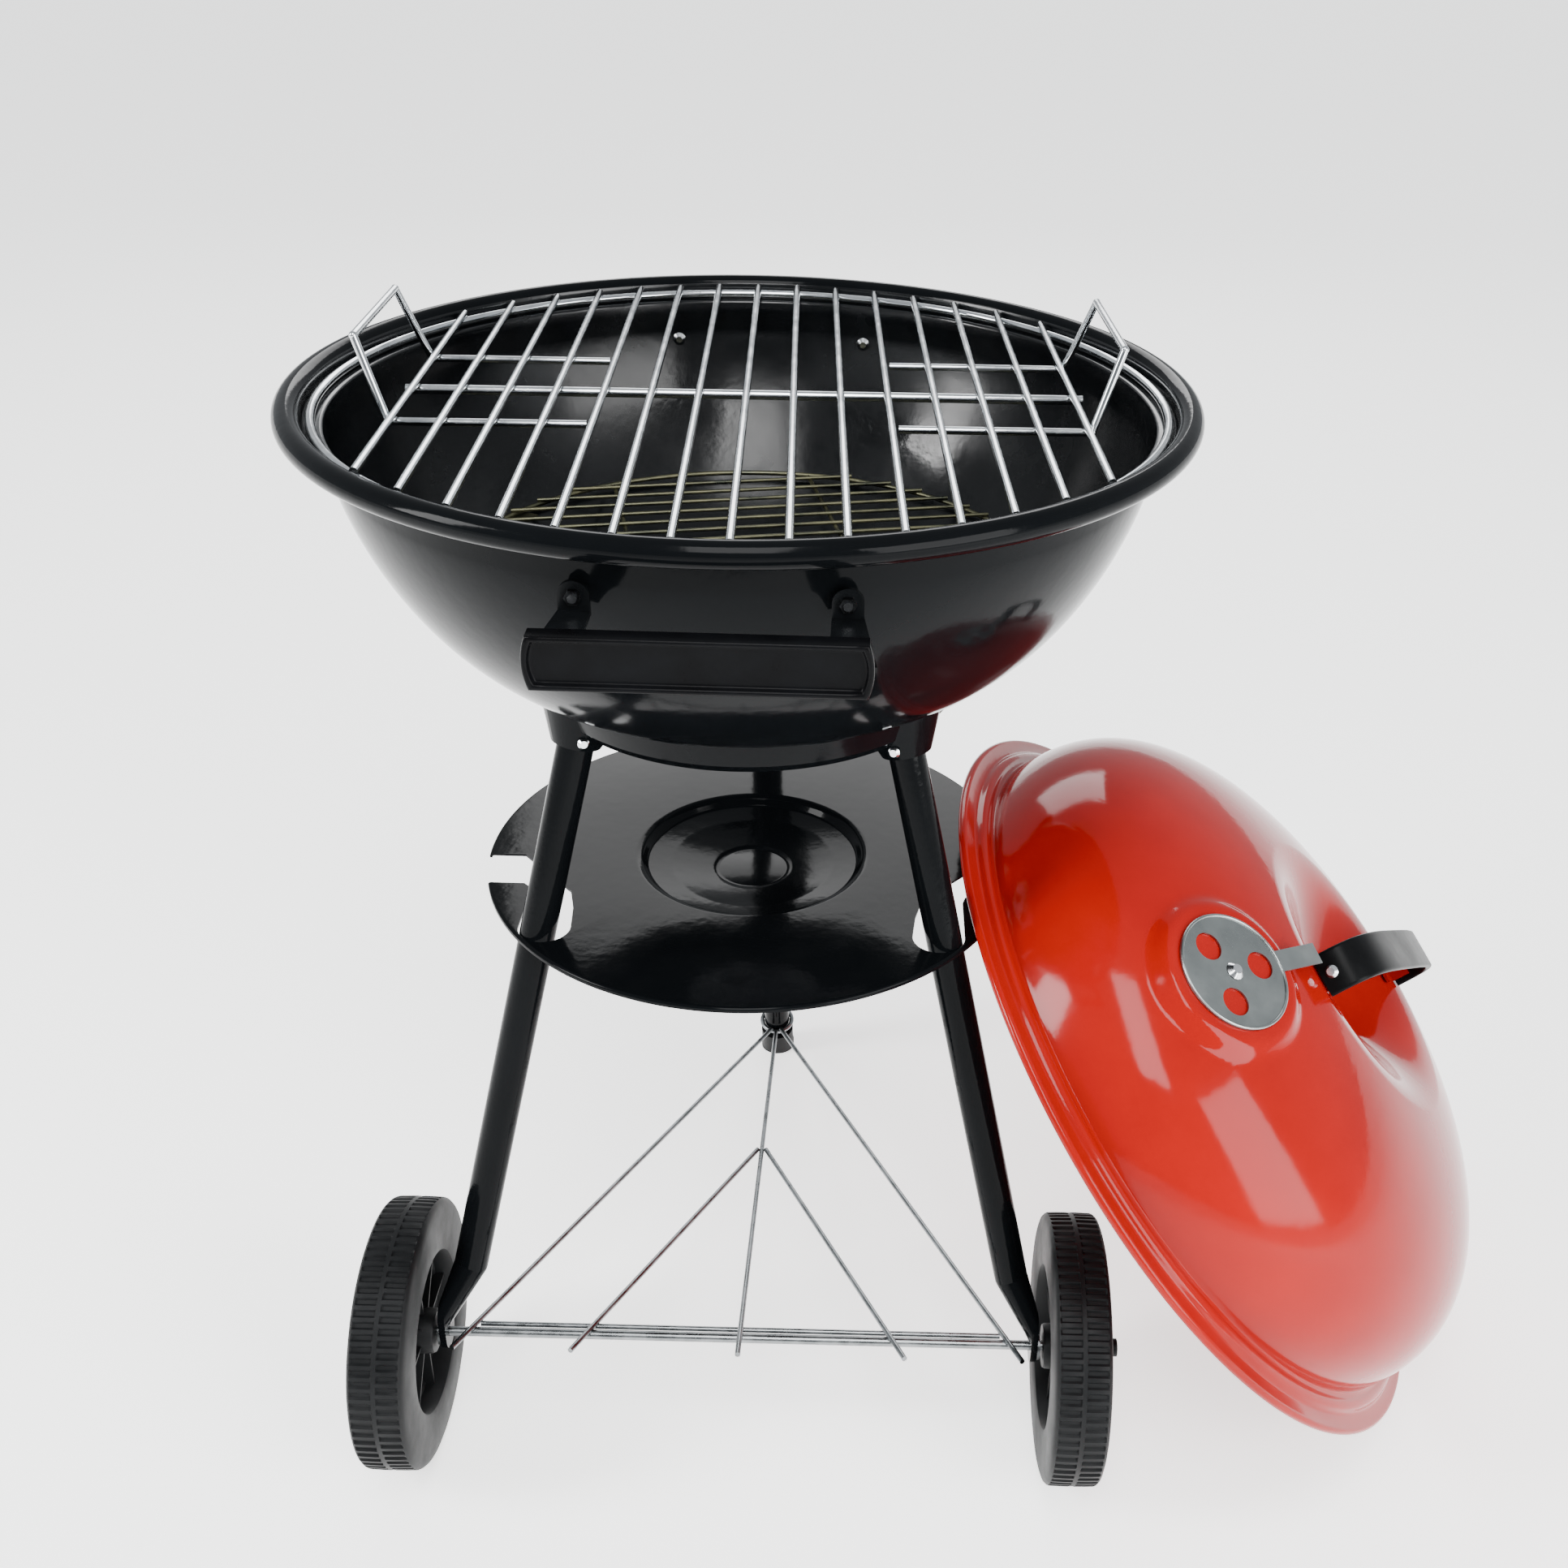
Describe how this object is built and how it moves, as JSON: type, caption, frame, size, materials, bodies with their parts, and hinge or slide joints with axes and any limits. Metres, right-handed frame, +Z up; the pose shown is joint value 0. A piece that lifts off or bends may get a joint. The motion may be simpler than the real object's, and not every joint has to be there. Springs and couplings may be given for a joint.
{
  "type": "kettle charcoal grill",
  "caption": "Round kettle charcoal grill on a wheeled tripod, with wire grates, ash pan, wire shelf and a domed lid leaning beside it.",
  "frame": {"origin": "on the floor, at the centre of the footprint of the grill and its leaning lid", "axes": "+Z up; -Y is the side with the wheels and the front grip; +X is the side where the lid leans; the bowl's axis stands at x = -0.1225, y = 0"},
  "size_m": [0.7252, 0.544, 0.6732],
  "materials": {
    "black_enamel": "glossy black porcelain enamel",
    "red_enamel": "glossy red porcelain enamel",
    "black_tube": "gloss black paint on steel tube",
    "black_bracket": "black paint on steel strap",
    "chromed_wire": "bright chromed wire",
    "coal_wire": "heat-tinted bare steel wire",
    "shelf_steel": "zinc-plated wire",
    "bright_screw": "bright plated fastener",
    "damper_steel": "brushed steel sheet",
    "axle_steel": "zinc-plated steel rod",
    "wheel_plastic": "moulded black plastic, fine ribs",
    "grip_plastic": "moulded black heat-resistant plastic",
    "foot_plastic": "moulded black plastic"
  },
  "bodies": {
    "stand": {"bowl": "black_enamel", "grate_supports": "coal_wire", "vent_rivet": "bright_screw", "front_handle_brackets": "black_bracket", "front_handle_grip": "grip_plastic", "rear_handle_brackets": "black_bracket", "rear_handle_grip": "grip_plastic", "handle_screws": "bright_screw", "handle_nuts": "bright_screw", "leg_ring": "black_enamel", "ring_screws": "bright_screw", "left_leg": "black_tube", "right_leg": "black_tube", "rear_leg": "black_tube", "foot_cap": "foot_plastic", "shelf_left_wire": "shelf_steel", "shelf_right_wire": "shelf_steel", "shelf_centre_wire": "shelf_steel", "shelf_left_brace": "shelf_steel", "shelf_right_brace": "shelf_steel", "shelf_base_wire": "shelf_steel", "shelf_leg_loop": "shelf_steel", "axle": "axle_steel", "axle_caps": "foot_plastic", "wheel_washers": "axle_steel"},
    "bottom_vent": {"bottom_vent_plate": "damper_steel"},
    "cooking_grate": {"cooking_grate_ring": "chromed_wire", "cooking_grate_bars": "chromed_wire", "cooking_grate_cross_wire": "chromed_wire", "cooking_grate_handles": "chromed_wire"},
    "charcoal_grate": {"charcoal_grate_ring": "coal_wire", "charcoal_grate_bars": "coal_wire", "charcoal_grate_cross_wires": "coal_wire"},
    "pan": {"ash_pan": "black_enamel"},
    "left_wheel_body": {"left_wheel": "wheel_plastic"},
    "right_wheel_body": {"right_wheel": "wheel_plastic"},
    "lid": {"lid_shell": "red_enamel", "lid_handle": "black_bracket", "lid_handle_brackets": "red_enamel", "lid_handle_screws": "bright_screw", "lid_vent_rivet": "bright_screw"},
    "lid_vent": {"lid_vent_plate": "damper_steel"}
  },
  "joints": [
    {"name": "bottom_vent_turn", "type": "hinge", "parent": "stand", "child": "bottom_vent", "pos_m": [-0.1225, 0, 0.4689], "axis": [0, 0, 1], "range_deg": [0, 60]},
    {"name": "cooking_grate_lift", "type": "slide", "parent": "stand", "child": "cooking_grate", "axis": [0, 0, 1], "range_m": [0, 0.3]},
    {"name": "charcoal_grate_lift", "type": "slide", "parent": "stand", "child": "charcoal_grate", "axis": [0, 0, 1], "range_m": [0, 0.08]},
    {"name": "ash_pan_lift", "type": "slide", "parent": "stand", "child": "pan", "axis": [0, 0, 1], "range_m": [0, 0.003]},
    {"name": "left_wheel_turn", "type": "hinge", "parent": "stand", "child": "left_wheel_body", "pos_m": [-0.327, -0.149, 0.0815], "axis": [1, 0, 0], "continuous": true},
    {"name": "right_wheel_turn", "type": "hinge", "parent": "stand", "child": "right_wheel_body", "pos_m": [0.082, -0.149, 0.0815], "axis": [1, 0, 0], "continuous": true},
    {"name": "lid_lift_away", "type": "slide", "parent": "stand", "child": "lid", "axis": [0.747, -0.0851, 0.6593], "range_m": [0, 0.35]},
    {"name": "lid_vent_turn", "type": "hinge", "parent": "lid", "child": "lid_vent", "pos_m": [0.15416, -0.11507, 0.3456], "axis": [0.414, -0.3741, 0.8299], "range_deg": [0, 60]}
  ]
}
